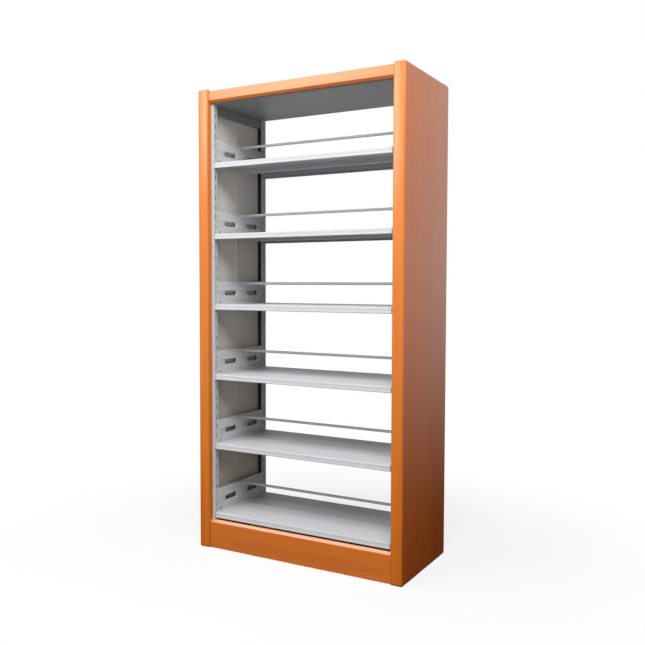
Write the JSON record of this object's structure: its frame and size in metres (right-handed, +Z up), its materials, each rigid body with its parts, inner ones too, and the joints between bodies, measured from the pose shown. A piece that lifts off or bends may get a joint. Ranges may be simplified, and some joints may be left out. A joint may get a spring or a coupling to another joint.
{
  "type": "library bookcase",
  "caption": "Free-standing double-faced library bookcase with wood end panels, rails and plinths around a grey slotted steel frame whose hook-on shelves lift off.",
  "frame": {"origin": "on the floor, in the middle of the case's footprint", "axes": "+X along the width to the right seen from the front, -Y out of the front face, +Z up"},
  "size_m": [1, 0.47, 2.05],
  "materials": {
    "cherry_wood": "satin lacquer, fine grain",
    "grey_steel": "satin powder coat",
    "pale_steel": "satin powder coat",
    "bolt_steel": "zinc plated"
  },
  "bodies": {
    "frame": {"left_end_panel": "cherry_wood", "left_front_lipping": "cherry_wood", "left_rear_lipping": "cherry_wood", "left_top_lipping": "cherry_wood", "right_end_panel": "cherry_wood", "right_front_lipping": "cherry_wood", "right_rear_lipping": "cherry_wood", "right_top_lipping": "cherry_wood", "front_top_rail": "cherry_wood", "rear_top_rail": "cherry_wood", "front_plinth": "cherry_wood", "rear_plinth": "cherry_wood", "left_front_upright": "grey_steel", "left_rear_upright": "grey_steel", "right_front_upright": "grey_steel", "right_rear_upright": "grey_steel", "left_side_sheet": "grey_steel", "right_side_sheet": "grey_steel", "left_upper_cross_rail": "grey_steel", "left_lower_cross_rail": "grey_steel", "right_upper_cross_rail": "grey_steel", "right_lower_cross_rail": "grey_steel", "top_box": "grey_steel", "front_base_beam": "grey_steel", "rear_base_beam": "grey_steel", "left_upper_bolt": "bolt_steel", "left_lower_bolt": "bolt_steel", "right_upper_bolt": "bolt_steel", "right_lower_bolt": "bolt_steel"},
    "level_1": {"level_1_left_bracket": "grey_steel", "level_1_right_bracket": "grey_steel", "level_1_book_stop": "grey_steel"},
    "level_1_front_board": {"level_1_front_board": "pale_steel"},
    "level_1_rear_board": {"level_1_rear_board": "pale_steel"},
    "level_2": {"level_2_left_bracket": "grey_steel", "level_2_right_bracket": "grey_steel", "level_2_book_stop": "grey_steel"},
    "level_2_front_board": {"level_2_front_board": "pale_steel"},
    "level_2_rear_board": {"level_2_rear_board": "pale_steel"},
    "level_3": {"level_3_left_bracket": "grey_steel", "level_3_right_bracket": "grey_steel", "level_3_book_stop": "grey_steel"},
    "level_3_front_board": {"level_3_front_board": "pale_steel"},
    "level_3_rear_board": {"level_3_rear_board": "pale_steel"},
    "level_4": {"level_4_left_bracket": "grey_steel", "level_4_right_bracket": "grey_steel", "level_4_book_stop": "grey_steel"},
    "level_4_front_board": {"level_4_front_board": "pale_steel"},
    "level_4_rear_board": {"level_4_rear_board": "pale_steel"},
    "level_5": {"level_5_left_bracket": "grey_steel", "level_5_right_bracket": "grey_steel", "level_5_book_stop": "grey_steel"},
    "level_5_front_board": {"level_5_front_board": "pale_steel"},
    "level_5_rear_board": {"level_5_rear_board": "pale_steel"},
    "level_6": {"level_6_left_bracket": "grey_steel", "level_6_right_bracket": "grey_steel", "level_6_book_stop": "grey_steel"},
    "level_6_front_board": {"level_6_front_board": "pale_steel"},
    "level_6_rear_board": {"level_6_rear_board": "pale_steel"}
  },
  "joints": [
    {"name": "level_1_lift", "type": "slide", "parent": "frame", "child": "level_1", "axis": [0, 0, 1], "range_m": [0, 0.01]},
    {"name": "level_1_front_board_lift", "type": "slide", "parent": "level_1", "child": "level_1_front_board", "axis": [0, 0, 1], "range_m": [0, 0.06]},
    {"name": "level_1_rear_board_lift", "type": "slide", "parent": "level_1", "child": "level_1_rear_board", "axis": [0, 0, 1], "range_m": [0, 0.06]},
    {"name": "level_2_lift", "type": "slide", "parent": "frame", "child": "level_2", "axis": [0, 0, 1], "range_m": [0, 0.01]},
    {"name": "level_2_front_board_lift", "type": "slide", "parent": "level_2", "child": "level_2_front_board", "axis": [0, 0, 1], "range_m": [0, 0.06]},
    {"name": "level_2_rear_board_lift", "type": "slide", "parent": "level_2", "child": "level_2_rear_board", "axis": [0, 0, 1], "range_m": [0, 0.06]},
    {"name": "level_3_lift", "type": "slide", "parent": "frame", "child": "level_3", "axis": [0, 0, 1], "range_m": [0, 0.01]},
    {"name": "level_3_front_board_lift", "type": "slide", "parent": "level_3", "child": "level_3_front_board", "axis": [0, 0, 1], "range_m": [0, 0.06]},
    {"name": "level_3_rear_board_lift", "type": "slide", "parent": "level_3", "child": "level_3_rear_board", "axis": [0, 0, 1], "range_m": [0, 0.06]},
    {"name": "level_4_lift", "type": "slide", "parent": "frame", "child": "level_4", "axis": [0, 0, 1], "range_m": [0, 0.01]},
    {"name": "level_4_front_board_lift", "type": "slide", "parent": "level_4", "child": "level_4_front_board", "axis": [0, 0, 1], "range_m": [0, 0.06]},
    {"name": "level_4_rear_board_lift", "type": "slide", "parent": "level_4", "child": "level_4_rear_board", "axis": [0, 0, 1], "range_m": [0, 0.06]},
    {"name": "level_5_lift", "type": "slide", "parent": "frame", "child": "level_5", "axis": [0, 0, 1], "range_m": [0, 0.01]},
    {"name": "level_5_front_board_lift", "type": "slide", "parent": "level_5", "child": "level_5_front_board", "axis": [0, 0, 1], "range_m": [0, 0.06]},
    {"name": "level_5_rear_board_lift", "type": "slide", "parent": "level_5", "child": "level_5_rear_board", "axis": [0, 0, 1], "range_m": [0, 0.06]},
    {"name": "level_6_lift", "type": "slide", "parent": "frame", "child": "level_6", "axis": [0, 0, 1], "range_m": [0, 0.01]},
    {"name": "level_6_front_board_lift", "type": "slide", "parent": "level_6", "child": "level_6_front_board", "axis": [0, 0, 1], "range_m": [0, 0.06]},
    {"name": "level_6_rear_board_lift", "type": "slide", "parent": "level_6", "child": "level_6_rear_board", "axis": [0, 0, 1], "range_m": [0, 0.06]}
  ]
}
